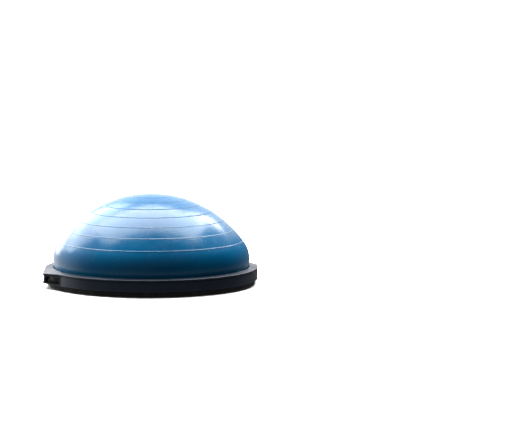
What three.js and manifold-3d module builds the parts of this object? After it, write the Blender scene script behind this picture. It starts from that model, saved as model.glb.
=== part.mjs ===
// Balance dome trainer: an air-filled dome clamped to a round platform with two tie-down ears.
// Millimetres, +Z up, origin at the centre of the face that stands on the floor, ears on the X axis.
import * as THREE from 'three';
import { mergeVertices } from 'three/addons/utils/BufferGeometryUtils.js';
import Module from 'manifold-3d';

// ---------------------------------------------------------------- driving dimensions
const ROUND = 64;                     // facets round the whole object
const FIT = 0.3;                      // gap kept between two pieces that touch

const platform = {
  radius: 314.7,                      // outer wall of the rim
  height: 51.2,                       // floor to the rim's outer top edge
  parting: 16.6,                      // height of the joint between rim and base
  wall: 4,                            // moulded wall thickness
};
const rim = {
  lipProud: 1, lipHeight: 5,          // small overhang along the top edge
  topWidth: 24.6,                     // width of the sloping top face
  topRise: 2.4,                       // how far the top face climbs towards the dome
  skirt: 4.6, skirtDepth: 10.4,       // the ring that reaches down and presses on the dome's bead
  stiffeners: 16, stiffenerThick: 2.4,  // webs in the channel, between the screw bosses
};
const dome = {
  top: 267,                           // floor to crown
  bulge: 3.2,                         // widest radius beyond the radius at the rim's mouth
  shoulderRadius: 80,                 // rounding between the crown's sphere and the mouth
  mouthGap: 2.4,                      // open gap between dome and rim at the mouth
  wall: 3.6,
  beadWidth: 5, beadThick: 3,         // flange held between rim and base
};
const ridge = {
  count: 7,
  aboveShoulder: 8.4,                 // lowest ridge above the height where the shoulder begins
  cap: 1.4,                           // crown inside the top ridge, in ridge spacings
  proud: 1.1, width: 2.8,
};
const bladderFloor = { thick: 2.6 };
const ear = {
  proud: 20.6,                        // corner beyond the rim's wall
  length: 175,                        // along the rim
  topDrop: 8.5,                       // ear's flat top below the rim's edge
  cornerRadius: 14,
  plate: 4.2, sill: 4.4,              // material above and below the finger pocket
  pocketLength: 138, pocketInset: 12.7, pocketBack: 3, pocketCorner: 9,
};
const tiePin = { radius: 4, headRadius: 6.2, headHigh: 2.4, fromCorner: 12, socket: 3 };
const deck = { gap: 2.6, thick: 4.6, ribs: 12, ribThick: 3.2, hubRadius: 46, ringRadii: [118, 205], ringThick: 3.2 };
const foot = { inset: 3.2, taper: 7.6 };                   // outer edge in from the rim, and its undercut
const screw = { count: 16, shank: 2, headRadius: 3.5, headHigh: 2.6, length: 21, access: 0.5 };
const boss = { radius: 5.4 };
const valve = {
  fromCentre: 150,                    // distance from the platform's centre, on +Y
  wellRadius: 23, wellWall: 2.8,
  bore: 4.6,                          // hole through the valve socket
  neck: 8, flange: 15, flangeHigh: 3.2,
  nutRadius: 14, nutHigh: 4.5,
  plugHead: 11.5, plugHeadHigh: 2.8, tab: 6,
};

// ---------------------------------------------------------------- derived heights and radii
const degreesOf = (angle) => angle * 180 / Math.PI;
const rimTop = platform.height + rim.topRise;
const rimInner = platform.radius - rim.topWidth;           // mouth the dome rises through
const domeFoot = rimInner - dome.mouthGap;                 // dome's radius where it passes the mouth
const beadTop = rimTop - rim.skirtDepth;
const beadLow = beadTop - dome.beadThick;
const beadRadius = domeFoot + dome.beadWidth;
const floorTop = beadLow - FIT;
const floorLow = floorTop - bladderFloor.thick;
const seatTop = floorLow - FIT;                            // top of the base's ribs and bead seat
const deckTop = deck.gap + deck.thick;
const flangeLow = platform.parting - FIT;
const flangeTop = flangeLow + platform.wall;
const footTopRadius = platform.radius - foot.inset;
const riserOuter = beadRadius;                             // the base's riser stands under the bead
const footInner = riserOuter + FIT;
const riserInner = riserOuter - platform.wall;
const screwCircle = riserOuter + boss.radius + 3 * FIT;
const channelOuter = platform.radius - platform.wall;
const channelInner = rimInner + rim.skirt;
const channelTop = platform.height - platform.wall;
const plugTail = valve.bore - FIT;
const earReach = platform.radius + ear.proud;
const earTop = platform.height - ear.topDrop;
const earHalfAngle = degreesOf(Math.asin(ear.length / 2 / platform.radius));
const pocketHalfAngle = degreesOf(Math.asin(ear.pocketLength / 2 / platform.radius));
const pocketInner = platform.radius - ear.pocketInset;
const pocketLow = platform.parting + ear.sill;
const pocketHigh = earTop - ear.plate;
const tiePinCentre = earReach - tiePin.fromCorner;

// The shoulder's arc leaves the mouth, bulges out and runs into the crown's sphere in one tangent.
const shoulderCentreRadius = domeFoot + dome.bulge - dome.shoulderRadius;
const shoulderCentreHeight = rimTop - 0.6
  + Math.sqrt(dome.shoulderRadius ** 2 - (dome.shoulderRadius - dome.bulge) ** 2);
const crownReach = dome.top - dome.shoulderRadius;
const crownCentre = (crownReach ** 2 - shoulderCentreRadius ** 2 - shoulderCentreHeight ** 2)
  / (2 * (crownReach - shoulderCentreHeight));
const crownRadius = dome.top - crownCentre;
const shoulderAngle = Math.atan2(shoulderCentreRadius, shoulderCentreHeight - crownCentre);
const shoulderHeight = crownCentre + crownRadius * Math.cos(shoulderAngle);
const lowestRidge = Math.acos((shoulderHeight + ridge.aboveShoulder - crownCentre) / crownRadius);

// ---------------------------------------------------------------- solid helpers
const wasm = await Module();
wasm.setup();

const radians = (degrees) => degrees * Math.PI / 180;

/** Closed three.js geometry to a manifold solid. */
function solid(geometry) {
  const bare = geometry.clone();
  for (const name of ['normal', 'uv']) bare.deleteAttribute(name);
  const merged = mergeVertices(bare, 1e-4);
  return new wasm.Manifold(new wasm.Mesh({
    numProp: 3,
    vertProperties: new Float32Array(merged.attributes.position.array),
    triVerts: new Uint32Array(merged.index.array),
  }));
}

/** Manifold solid back to a flat-shaded three.js geometry. */
function geometryOf(body) {
  const { vertProperties, triVerts } = body.getMesh();
  const geometry = new THREE.BufferGeometry();
  geometry.setAttribute('position', new THREE.Float32BufferAttribute(vertProperties, 3));
  geometry.setIndex(new THREE.Uint32BufferAttribute(triVerts, 1));
  const flat = geometry.toNonIndexed();
  flat.computeVertexNormals();
  return flat;
}

/** Revolves a profile of [radius, height] points about +Z. */
function revolve(profile, facets = ROUND) {
  const points = profile.map(([r, z]) => new THREE.Vector2(r, z));
  const onAxis = points[0].x === 0 && points.at(-1).x === 0;
  if (!onAxis) points.push(points[0].clone());
  const area = points.reduce((sum, p, i) => {
    const q = points[(i + 1) % points.length];
    return sum + p.x * q.y - q.x * p.y;
  }, 0);
  if (area < 0) points.reverse();
  return new THREE.LatheGeometry(points, facets).rotateX(Math.PI / 2);
}

const ring = (inner, outer, low, high, facets) =>
  revolve([[inner, low], [outer, low], [outer, high], [inner, high]], facets);

const disc = (radius, low, high, facets) =>
  revolve([[0, low], [radius, low], [radius, high], [0, high]], facets);

/** Plan outline raised from one height to another. */
function raise(shape, low, high) {
  const prism = new THREE.ExtrudeGeometry(shape, { depth: high - low, bevelEnabled: false, curveSegments: 6 });
  return prism.translate(0, 0, low);
}

/** Upright web from one radius to another at an angle about +Z. */
function radialWeb(from, to, low, high, thick, degrees) {
  return new THREE.BoxGeometry(to - from, thick, high - low)
    .translate((from + to) / 2, 0, (low + high) / 2)
    .rotateZ(radians(degrees));
}

/** Point at a radius and an angle about +Z. */
const polar = (radius, degrees) =>
  new THREE.Vector2(radius * Math.cos(radians(degrees)), radius * Math.sin(radians(degrees)));

/** Evenly spaced angles round the circle, in degrees. */
const around = (count, start = 0) => Array.from({ length: count }, (_, i) => start + (i * 360) / count);

const model = new THREE.Group();

/** Adds one named piece to the model. */
function add(name, geometry, material, degrees = 0) {
  const piece = new THREE.Mesh(geometry, material.clone());
  piece.name = name;
  piece.rotation.z = radians(degrees);
  model.add(piece);
}

// ---------------------------------------------------------------- materials
const finish = (color, roughness, metalness = 0) =>
  new THREE.MeshStandardMaterial({ color, roughness, metalness });
const charcoalPlastic = finish(0x2b333d, 0.62);
const blackPlastic = finish(0x17191c, 0.7);
const blackRubber = finish(0x0d0e10, 0.88);
const blueVinyl = finish(0x00507f, 0.32);
const zincSteel = finish(0x9aa0a4, 0.35, 1);

// ---------------------------------------------------------------- dome
/** Point on a sphere or arc in the dome's section, by its angle from straight up. */
const sectionPoint = (centreRadius, centreHeight, radius, angle) =>
  [centreRadius + radius * Math.sin(angle), centreHeight + radius * Math.cos(angle)];

/** Outer line of the dome from the crown down to the mouth of the rim, with its raised ridges. */
function domeOuterLine() {
  const onCrown = (angle, proud = 0) => sectionPoint(0, crownCentre, crownRadius + proud, angle);
  const halfWidth = ridge.width / 2 / crownRadius;
  const line = [[0, dome.top]];
  for (let i = 1; i <= ridge.count; i += 1) {
    const angle = lowestRidge * (i - 1 + ridge.cap) / (ridge.count - 1 + ridge.cap);
    line.push(onCrown(angle - halfWidth), onCrown(angle, ridge.proud), onCrown(angle + halfWidth));
  }
  const mouthAngle = Math.PI - Math.asin((dome.shoulderRadius - dome.bulge) / dome.shoulderRadius);
  const steps = 5;
  for (let i = 0; i <= steps; i += 1) {
    const angle = shoulderAngle + ((mouthAngle - shoulderAngle) * i) / steps;
    line.push(sectionPoint(shoulderCentreRadius, shoulderCentreHeight, dome.shoulderRadius, angle));
  }
  return line;
}

/** Hollow dome: outer line, bead flange, then the inner line back up to the crown. */
function domeProfile() {
  const innerLine = [[domeFoot - dome.wall, beadLow], [domeFoot - dome.wall, rimTop]];
  const innerShoulder = dome.shoulderRadius - dome.wall;
  innerLine.push(sectionPoint(shoulderCentreRadius, shoulderCentreHeight, innerShoulder, Math.PI / 2));
  const steps = 6;
  for (let i = steps; i > 0; i -= 1) {
    innerLine.push(sectionPoint(0, crownCentre, crownRadius - dome.wall, shoulderAngle * i / steps));
  }
  innerLine.push([0, dome.top - dome.wall]);
  return [
    ...domeOuterLine(),
    [domeFoot, beadTop],
    [beadRadius, beadTop],
    [beadRadius, beadLow],
    ...innerLine,
  ];
}

function addDome() {
  add('dome_bladder', revolve(domeProfile()), blueVinyl);
  const membrane = solid(disc(beadRadius, floorLow, floorTop))
    .subtract(solid(disc(valve.neck + FIT, floorLow - 1, floorTop + 1, 24).translate(0, valve.fromCentre, 0)));
  add('bladder_floor', geometryOf(membrane), blueVinyl);
}

// ---------------------------------------------------------------- rim with its two ears
const earTangent = degreesOf(Math.acos(platform.radius / earReach));
/** Radius of the ear's straight side at an angle from its corner. */
const earSide = (degrees) => platform.radius / Math.cos(radians(earTangent - Math.abs(degrees)));

/** Plan of one ear on +X: two near-tangent sides that meet at a rounded corner. */
function earPlan() {
  const root = platform.radius - platform.wall / 2;
  const corner = new THREE.Vector2(earReach, 0);
  const sideEnd = polar(earSide(earHalfAngle), earHalfAngle);
  const trim = ear.cornerRadius * Math.tan(radians(earTangent));
  const nearCorner = corner.clone().lerp(sideEnd, trim / corner.distanceTo(sideEnd));
  const plan = new THREE.Shape();
  plan.moveTo(...polar(root, -earHalfAngle));
  plan.lineTo(sideEnd.x, -sideEnd.y);
  plan.lineTo(nearCorner.x, -nearCorner.y);
  plan.quadraticCurveTo(corner.x, corner.y, nearCorner.x, nearCorner.y);
  plan.lineTo(sideEnd.x, sideEnd.y);
  plan.lineTo(...polar(root, earHalfAngle));
  plan.absarc(0, 0, root, radians(earHalfAngle), radians(-earHalfAngle), true);
  return plan;
}

/** Band of the plan between two radii and two angles, with its inner corners rounded. */
function bandPlan(inner, outer, halfAngle, corner = 0) {
  const plan = new THREE.Shape();
  const inset = corner / inner * (180 / Math.PI);
  plan.moveTo(...polar(inner, -halfAngle + inset));
  plan.absarc(0, 0, inner, radians(-halfAngle + inset), radians(halfAngle - inset), false);
  if (corner > 0) {
    plan.quadraticCurveTo(...polar(inner, halfAngle), ...polar(inner + corner, halfAngle));
  }
  plan.lineTo(...polar(outer, halfAngle));
  plan.absarc(0, 0, outer, radians(halfAngle), radians(-halfAngle), true);
  if (corner > 0) {
    plan.lineTo(...polar(inner + corner, -halfAngle));
    plan.quadraticCurveTo(...polar(inner, -halfAngle), ...polar(inner, -halfAngle + inset));
  }
  return plan;
}

/** Section of the rim: outer wall, overhanging lip, sloping top face and the skirt on the bead. */
function rimProfile() {
  const { radius, height, parting } = platform;
  const lip = radius + rim.lipProud;
  const lipLow = height - rim.lipHeight;
  return [
    [radius - 0.8, parting],
    [radius, parting + 0.8],
    [radius, lipLow - 1.6],
    [lip, lipLow],
    [lip, height - 1.6],
    [lip - 1.6, height],
    [rimInner + 3, rimTop],
    [rimInner + 0.8, rimTop - 0.6],
    [rimInner, rimTop - 2.4],
    [rimInner, beadTop + FIT],
    [channelInner, beadTop + FIT],
    [channelInner + 1, channelTop],
    [channelOuter, channelTop],
    [channelOuter, parting],
  ];
}

function addRim() {
  let body = solid(revolve(rimProfile()));
  const bossLow = flangeTop + FIT;
  const bossTop = channelTop + 1;
  const screwAngles = around(screw.count, 180 / screw.count);
  for (const degrees of screwAngles) {
    const post = disc(boss.radius, bossLow, bossTop, 10).translate(screwCircle, 0, 0).rotateZ(radians(degrees));
    body = body.add(solid(post));
  }
  for (const degrees of around(rim.stiffeners)) {
    const web = radialWeb(channelInner - 1, channelOuter + 1, beadTop + 1, bossTop, rim.stiffenerThick, degrees);
    body = body.add(solid(web));
  }
  const earBody = solid(raise(earPlan(), platform.parting, earTop))
    .add(solid(raise(bandPlan(pocketInner - ear.pocketBack, platform.radius - 1, earHalfAngle), bossLow, bossTop)));
  const pocket = solid(raise(
    bandPlan(pocketInner, earReach + 20, pocketHalfAngle, ear.pocketCorner),
    pocketLow, pocketHigh,
  ));
  const pinHole = solid(disc(tiePin.radius + FIT, platform.parting - 1, pocketHigh + tiePin.socket, 20)
    .translate(tiePinCentre, 0, 0));
  const pinHeadHole = solid(disc(tiePin.headRadius + FIT, platform.parting - 1,
    platform.parting + tiePin.headHigh + FIT, 20).translate(tiePinCentre, 0, 0));
  for (const degrees of [0, 180]) {
    body = body.add(earBody.rotate(0, 0, degrees));
    for (const cut of [pocket, pinHole, pinHeadHole]) {
      body = body.subtract(cut.rotate(0, 0, degrees));
    }
  }
  for (const degrees of screwAngles) {
    const pilot = disc(screw.shank + FIT, bossLow - 1, flangeLow + screw.length + 1.5, 8)
      .translate(screwCircle, 0, 0).rotateZ(radians(degrees));
    body = body.subtract(solid(pilot));
  }
  add('rim_ring', geometryOf(body), charcoalPlastic);
  addTiePins();
}

/** Steel pins across the mouth of each finger pocket, put in from below. */
function addTiePins() {
  const low = platform.parting + 0.4;
  const top = pocketHigh + tiePin.socket - FIT;
  const profile = [
    [0, low], [tiePin.headRadius - 0.6, low], [tiePin.headRadius, low + 0.6],
    [tiePin.headRadius, platform.parting + tiePin.headHigh],
    [tiePin.radius, platform.parting + tiePin.headHigh],
    [tiePin.radius, top - 0.8], [tiePin.radius - 0.8, top], [0, top],
  ];
  for (const [name, degrees] of [['tie_pin_right', 0], ['tie_pin_left', 180]]) {
    add(name, revolve(profile, 20).translate(tiePinCentre, 0, 0), zincSteel, degrees);
  }
}

// ---------------------------------------------------------------- base with deck, ribs and valve well
/** Section of the base: flat deck, riser that carries the bead, and the flange under the rim. */
function baseProfile() {
  return [
    [0, deck.gap],
    [riserOuter - 1, deck.gap],
    [riserOuter, deck.gap + 1],
    [riserOuter, flangeLow],
    [channelOuter - FIT - 1, flangeLow],
    [channelOuter - FIT, flangeLow + 1],
    [channelOuter - FIT, flangeTop],
    [riserOuter, flangeTop],
    [riserOuter, seatTop],
    [riserInner, seatTop],
    [riserInner, deckTop],
    [0, deckTop],
  ];
}

function addBase() {
  let body = solid(revolve(baseProfile()));
  const overlap = 0.5;
  for (const radius of [deck.hubRadius, ...deck.ringRadii]) {
    body = body.add(solid(ring(radius - deck.ringThick, radius, deckTop - overlap, seatTop, 36)));
  }
  for (const degrees of around(deck.ribs, 180 / deck.ribs)) {
    const web = radialWeb(deck.hubRadius - 1, riserInner + 1, deckTop - overlap, seatTop, deck.ribThick, degrees);
    body = body.add(solid(web));
  }
  const wellOuter = valve.wellRadius + valve.wellWall;
  const wellTop = floorLow - valve.flangeHigh - FIT;
  body = body
    .add(solid(disc(wellOuter, deck.gap + 1, wellTop, 28).translate(0, valve.fromCentre, 0)))
    .subtract(solid(disc(valve.wellRadius, deck.gap - 1, seatTop + 1, 28).translate(0, valve.fromCentre, 0)));
  for (const degrees of around(screw.count, 180 / screw.count)) {
    const hole = disc(screw.shank + FIT, flangeLow - 1, flangeTop + 1, 8)
      .translate(screwCircle, 0, 0).rotateZ(radians(degrees));
    body = body.subtract(solid(hole));
  }
  add('base_pan', geometryOf(body), blackPlastic);
  addFootRing();
  addScrews();
}

/** Rubber ring that stands on the floor, with a hole below each screw. */
function addFootRing() {
  const top = flangeLow - FIT;
  let body = solid(revolve([
    [footInner + 1, 0],
    [footTopRadius - foot.taper - 1, 0],
    [footTopRadius - foot.taper, 0.8],
    [footTopRadius, top - 1],
    [footTopRadius - 0.8, top],
    [footInner, top],
    [footInner, 1],
  ]));
  const access = screw.headRadius + screw.access;
  for (const degrees of around(screw.count, 180 / screw.count)) {
    const hole = disc(access, -1, top + 1, 10).translate(screwCircle, 0, 0).rotateZ(radians(degrees));
    body = body.subtract(solid(hole));
  }
  add('foot_ring', geometryOf(body), blackRubber);
}

/** Pan-head screws, driven up through the base into the rim's bosses. */
function addScrews() {
  const seat = flangeLow - FIT;
  const low = seat - screw.headHigh;
  const profile = [
    [0, low], [screw.headRadius - 1.1, low], [screw.headRadius, low + 1.2], [screw.headRadius, seat],
    [screw.shank, seat], [screw.shank, seat + screw.length - 2.5], [0, seat + screw.length],
  ];
  around(screw.count, 180 / screw.count).forEach((degrees, i) => {
    const name = `rim_screw_${String(i + 1).padStart(2, '0')}`;
    add(name, revolve(profile, 8).translate(screwCircle, 0, 0), zincSteel, degrees);
  });
}

// ---------------------------------------------------------------- valve
/** Valve socket through the bladder floor, the nut that holds it, and the plug pressed in from below. */
function addValve() {
  const flangeTopZ = floorLow - FIT;
  const flangeLowZ = flangeTopZ - valve.flangeHigh;
  const neckTop = floorTop + FIT + valve.nutHigh + 1.5;
  const place = (geometry) => geometry.translate(0, valve.fromCentre, 0);
  add('valve_socket', place(revolve([
    [valve.bore, flangeLowZ],
    [valve.flange - 1, flangeLowZ],
    [valve.flange, flangeLowZ + 1],
    [valve.flange, flangeTopZ],
    [valve.neck, flangeTopZ],
    [valve.neck, neckTop - 1],
    [valve.neck - 1, neckTop],
    [valve.bore, neckTop],
  ], 24)), blackRubber);
  add('valve_nut', place(revolve([
    [valve.neck + FIT, floorTop + FIT],
    [valve.nutRadius, floorTop + FIT],
    [valve.nutRadius, floorTop + FIT + valve.nutHigh - 1],
    [valve.nutRadius - 1.5, floorTop + FIT + valve.nutHigh],
    [valve.neck + FIT, floorTop + FIT + valve.nutHigh],
  ], 24)), blackPlastic);
  const headTop = flangeLowZ - FIT;
  const headLow = headTop - valve.plugHeadHigh;
  const tabLow = headLow - valve.tab;
  const tailTop = neckTop - 1;
  const stem = solid(revolve([
    [0, headLow],
    [valve.plugHead - 1, headLow],
    [valve.plugHead, headLow + 1],
    [valve.plugHead, headTop],
    [plugTail, headTop],
    [plugTail, tailTop - 2],
    [plugTail - 1.2, tailTop],
    [0, tailTop],
  ], 24));
  const tab = new THREE.BoxGeometry(13, 3, valve.tab + 1).translate(0, 0, (tabLow + headLow + 1) / 2);
  add('valve_plug', place(geometryOf(stem.add(solid(tab)))), blackPlastic);
}

addBase();
addRim();
addDome();
addValve();

export default model;
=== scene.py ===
"""Balance dome trainer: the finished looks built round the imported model.

The dome, rim, base, foot, valve and fasteners are turned and cut from rounded sections, so that every
edge that a hand or a lamp would find has its radius. Metres, +Z up, ears on the X axis.
"""

from __future__ import annotations

import logging
import math
from dataclasses import dataclass, field
from enum import Enum
from typing import Iterable, Sequence

import bmesh
import bpy
from mathutils import Matrix, Vector


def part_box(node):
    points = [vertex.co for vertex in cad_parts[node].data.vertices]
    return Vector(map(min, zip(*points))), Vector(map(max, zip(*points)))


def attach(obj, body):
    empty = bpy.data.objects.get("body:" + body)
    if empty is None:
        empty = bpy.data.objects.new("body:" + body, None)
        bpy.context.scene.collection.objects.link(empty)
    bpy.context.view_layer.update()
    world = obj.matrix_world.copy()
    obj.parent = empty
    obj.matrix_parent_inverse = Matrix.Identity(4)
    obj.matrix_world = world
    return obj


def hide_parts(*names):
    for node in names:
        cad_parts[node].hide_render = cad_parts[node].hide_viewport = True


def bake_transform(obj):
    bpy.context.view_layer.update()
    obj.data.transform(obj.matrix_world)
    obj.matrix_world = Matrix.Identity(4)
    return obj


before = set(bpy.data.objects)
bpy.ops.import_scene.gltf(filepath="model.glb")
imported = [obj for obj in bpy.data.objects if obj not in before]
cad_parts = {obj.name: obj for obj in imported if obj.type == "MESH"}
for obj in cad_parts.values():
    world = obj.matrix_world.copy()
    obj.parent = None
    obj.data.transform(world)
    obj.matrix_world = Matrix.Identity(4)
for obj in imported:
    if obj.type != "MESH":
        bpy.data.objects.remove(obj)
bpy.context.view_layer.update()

LOG = logging.getLogger("balance_dome")
MM = 0.001
FIT = 0.3 * MM
FULL_TURN = 2 * math.pi


class Body(str, Enum):
    """The rigid bodies that pieces ride on."""

    PLATFORM = "platform"
    DOME = "dome"
    PLUG = "plug"


class Slot(str, Enum):
    """The material slots of the record."""

    DOME_VINYL = "dome_vinyl"
    RIM_PLASTIC = "rim_plastic"
    BASE_PLASTIC = "base_plastic"
    FOOT_RUBBER = "foot_rubber"
    STEEL = "steel"


class Cut(str, Enum):
    """How a tool solid changes a piece."""

    JOIN = "UNION"
    REMOVE = "DIFFERENCE"


# ------------------------------------------------------------------------------------------ sizes


@dataclass(frozen=True)
class Heights:
    """Heights and radii that several pieces share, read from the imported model."""

    rim_top: float
    rim_low: float
    dome_top: float
    bead_low: float
    bead_radius: float
    floor_low: float
    floor_top: float
    deck_low: float
    flange_top: float
    seat_top: float
    foot_top: float
    foot_radius: float
    wall_radius: float
    pin_low: float
    pin_top: float

    @classmethod
    def from_frame(cls) -> Heights:
        """Reads the shared sizes from the boxes of the CAD nodes.

        Returns:
            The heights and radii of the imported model, in metres.
        """
        rim_low, rim_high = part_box("rim_ring")
        dome_low, dome_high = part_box("dome_bladder")
        floor_low, floor_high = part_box("bladder_floor")
        base_low, base_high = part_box("base_pan")
        _, foot_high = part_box("foot_ring")
        pin_low, pin_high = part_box("tie_pin_right")
        lip_proud = 1 * MM
        return cls(
            rim_top=rim_high[2],
            rim_low=rim_low[2],
            dome_top=dome_high[2],
            bead_low=dome_low[2],
            bead_radius=dome_high[0],
            floor_low=floor_low[2],
            floor_top=floor_high[2],
            deck_low=base_low[2],
            flange_top=rim_low[2] - FIT + 4 * MM,
            seat_top=base_high[2],
            foot_top=foot_high[2],
            foot_radius=foot_high[0],
            wall_radius=rim_high[1] - lip_proud,
            pin_low=pin_low[2],
            pin_top=pin_high[2],
        )


# ------------------------------------------------------------------------------------------ shading


class Shader:
    """One material's node tree, with short calls for the nodes that the finishes use."""

    def __init__(self, name: str) -> None:
        """Starts a material that holds a Principled surface.

        Args:
            name: The material's name.
        """
        self.material = bpy.data.materials.new(name)
        self.material.use_nodes = True
        self.tree = self.material.node_tree
        self.surface = self.tree.nodes["Principled BSDF"]
        self.place = self.add("ShaderNodeTexCoord").outputs["Object"]

    def add(self, kind: str, **settings: object) -> bpy.types.Node:
        """Adds a node and sets its properties."""
        node = self.tree.nodes.new(kind)
        for name, value in settings.items():
            setattr(node, name, value)
        return node

    def link(self, source: bpy.types.NodeSocket, target: bpy.types.NodeSocket) -> None:
        """Joins two sockets."""
        self.tree.links.new(source, target)

    def set(self, **values: object) -> None:
        """Sets the surface's own sockets, with underscores for the spaces in their names."""
        for name, value in values.items():
            self.surface.inputs[name.replace("_", " ")].default_value = value

    def stretched(self, scale: Sequence[float]) -> bpy.types.NodeSocket:
        """Object coordinates stretched by a scale on each axis.

        Args:
            scale: The factor on X, Y and Z.

        Returns:
            The stretched coordinates.
        """
        mapping = self.add("ShaderNodeMapping")
        mapping.inputs["Scale"].default_value = scale
        self.link(self.place, mapping.inputs["Vector"])
        return mapping.outputs["Vector"]

    def noise(
        self,
        scale: float,
        detail: float = 2.0,
        rough: float = 0.5,
        where: bpy.types.NodeSocket | None = None,
    ) -> bpy.types.NodeSocket:
        """Fractal noise.

        Args:
            scale: Cells to the metre.
            detail: Octaves.
            rough: How much the finer octaves show.
            where: Coordinates, or None for plain object coordinates.

        Returns:
            The noise value from 0 to 1.
        """
        node = self.add("ShaderNodeTexNoise")
        node.inputs["Scale"].default_value = scale
        node.inputs["Detail"].default_value = detail
        node.inputs["Roughness"].default_value = rough
        self.link(where or self.place, node.inputs["Vector"])
        return node.outputs["Fac"]

    def cells(self, scale: float) -> bpy.types.NodeSocket:
        """Smooth cell pattern, the pebble of moulded skins."""
        node = self.add("ShaderNodeTexVoronoi", feature="SMOOTH_F1")
        node.inputs["Scale"].default_value = scale
        self.link(self.place, node.inputs["Vector"])
        return node.outputs["Distance"]

    def spread(
        self, value: bpy.types.NodeSocket, low: float, high: float, start: float = 0.0, end: float = 1.0
    ) -> bpy.types.NodeSocket:
        """Maps a value's stretch from low to high onto start to end, clamped."""
        node = self.add("ShaderNodeMapRange", interpolation_type="SMOOTHSTEP")
        self.link(value, node.inputs["Value"])
        for name, number in (("From Min", low), ("From Max", high), ("To Min", start), ("To Max", end)):
            node.inputs[name].default_value = number
        return node.outputs["Result"]

    def attribute(self, name: str) -> bpy.types.NodeSocket:
        """A number that the mesh carries at each point."""
        return self.add("ShaderNodeAttribute", attribute_name=name).outputs["Fac"]

    def times(self, a: bpy.types.NodeSocket, b: bpy.types.NodeSocket) -> bpy.types.NodeSocket:
        """Product of two values."""
        node = self.add("ShaderNodeMath", operation="MULTIPLY")
        self.link(a, node.inputs[0])
        self.link(b, node.inputs[1])
        return node.outputs[0]

    def blend(
        self,
        amount: bpy.types.NodeSocket,
        first: bpy.types.NodeSocket | Sequence[float],
        second: bpy.types.NodeSocket | Sequence[float],
    ) -> bpy.types.NodeSocket:
        """Colour between two colours.

        Args:
            amount: 0 for the first colour, 1 for the second.
            first: A colour or a colour socket.
            second: A colour or a colour socket.

        Returns:
            The mixed colour.
        """
        node = self.add("ShaderNodeMix", data_type="RGBA")
        self.link(amount, node.inputs[0])
        for socket, colour in ((node.inputs[6], first), (node.inputs[7], second)):
            if isinstance(colour, bpy.types.NodeSocket):
                self.link(colour, socket)
            else:
                socket.default_value = (*colour, 1.0)
        return node.outputs[2]

    def relief(self, layers: Iterable[tuple[bpy.types.NodeSocket, float, float]]) -> None:
        """Stacks bump layers and gives them to the surface.

        Args:
            layers: Height value, strength, and depth in metres of each layer.
        """
        normal: bpy.types.NodeSocket | None = None
        for height, strength, depth in layers:
            bump = self.add("ShaderNodeBump")
            bump.inputs["Strength"].default_value = strength
            bump.inputs["Distance"].default_value = depth
            self.link(height, bump.inputs["Height"])
            if normal is not None:
                self.link(normal, bump.inputs["Normal"])
            normal = bump.outputs["Normal"]
        if normal is not None:
            self.link(normal, self.surface.inputs["Normal"])

    def colour(self, socket: bpy.types.NodeSocket) -> None:
        """Gives the surface its colour."""
        self.link(socket, self.surface.inputs["Base Color"])

    def roughness(self, socket: bpy.types.NodeSocket) -> None:
        """Gives the surface its roughness."""
        self.link(socket, self.surface.inputs["Roughness"])


@dataclass(frozen=True)
class VinylFinish:
    """Satin blown vinyl: deep blue, faintly cloudy, with a fine matt grain and handled patches, painted
    shade under the raised rings and a painted bounce light low by the rim.
    """

    name: str = "blue_vinyl"
    deep: tuple[float, float, float] = (0.0, 0.076, 0.185)
    bright: tuple[float, float, float] = (0.0, 0.098, 0.225)
    # Painted shade: darker blue for the hollow just under each raised ring.
    painted_crease_shade: tuple[float, float, float] = (0.0, 0.045, 0.12)
    # Painted light: a paler blue standing in for bounce light on the dome's lowest band.
    painted_bounce_light: tuple[float, float, float] = (0.0, 0.19, 0.38)
    bloom: tuple[float, float, float] = (0.06, 0.17, 0.27)

    def make(self) -> bpy.types.Material:
        """Builds the material.

        Returns:
            The finished material.
        """
        shader = Shader(self.name)
        cloud = shader.spread(shader.noise(5.5, 4, 0.55), 0.35, 0.68)
        body = shader.blend(cloud, self.deep, self.bright)
        rubbed = shader.spread(shader.noise(14.0, 8, 0.72), 0.5, 0.8, 0, 0.14)
        dusty = shader.blend(rubbed, body, self.bloom)
        # Painted bounce light: paler blue on the lowest band, by the rim.
        bounce_lit = shader.blend(shader.attribute("painted_bounce_light"), dusty, self.painted_bounce_light)
        # Painted shade: darkens the hollow just under each raised ring.
        shader.colour(shader.blend(shader.attribute("painted_crease_shade"), bounce_lit, self.painted_crease_shade))
        smear = shader.noise(26.0, 9, 0.7)
        shader.roughness(shader.spread(smear, 0.32, 0.70, 0.18, 0.30))
        shader.relief(
            (
                (shader.noise(6.0, 1, 0.4), 0.12, 1.2 * MM),
                (shader.noise(70.0, 3, 0.5), 0.03, 0.3 * MM),
                (shader.cells(620.0), 0.07, 0.08 * MM),
                (shader.noise(1500.0, 2, 0.6), 0.06, 0.04 * MM),
            )
        )
        shader.set(IOR=1.46, Specular_IOR_Level=0.25)
        return shader.material


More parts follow.
